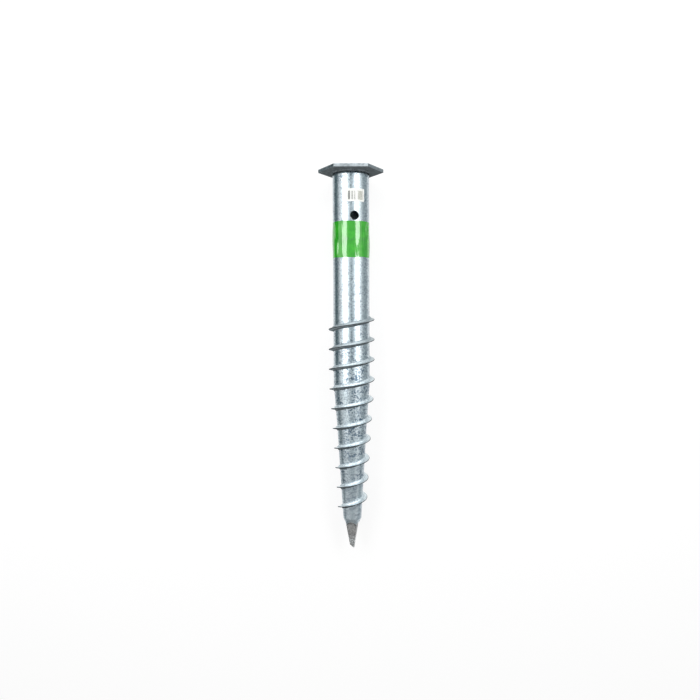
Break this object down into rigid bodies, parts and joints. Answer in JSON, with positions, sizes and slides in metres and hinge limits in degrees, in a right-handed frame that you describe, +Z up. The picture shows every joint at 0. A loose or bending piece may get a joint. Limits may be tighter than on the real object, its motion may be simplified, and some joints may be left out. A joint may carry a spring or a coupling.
{
  "type": "foundation ground screw",
  "caption": "Galvanised steel ground screw with a hexagonal top flange, a right-hand welded flight and a square forged point, for posts and solar frames.",
  "frame": {"origin": "on the floor below the middle of the lying screw's box", "axes": "+Y along the screw from its point to its flange, +Z up from the floor, +X across it"},
  "size_m": [0.1358, 0.8012, 0.1181],
  "materials": {
    "galvanised_tube": "hot-dip galvanised, bright with a fine spangle",
    "galvanised_flight": "hot-dip galvanised, duller than the tube",
    "galvanised_weld": "galvanised weld bead",
    "galvanised_plate": "hot-dip galvanised plate",
    "green_film": "glossy film with fine creases",
    "white_paper": "printed paper label"
  },
  "bodies": {
    "root": {"shaft": "galvanised_tube", "helix_flight": "galvanised_flight", "flight_upper_weld": "galvanised_weld", "flight_lower_weld": "galvanised_weld", "flange_plate": "galvanised_plate", "flange_weld": "galvanised_weld", "flange_nut": "galvanised_plate", "nut_weld": "galvanised_weld", "film_band": "green_film", "bar_label": "white_paper"}
  },
  "joints": []
}
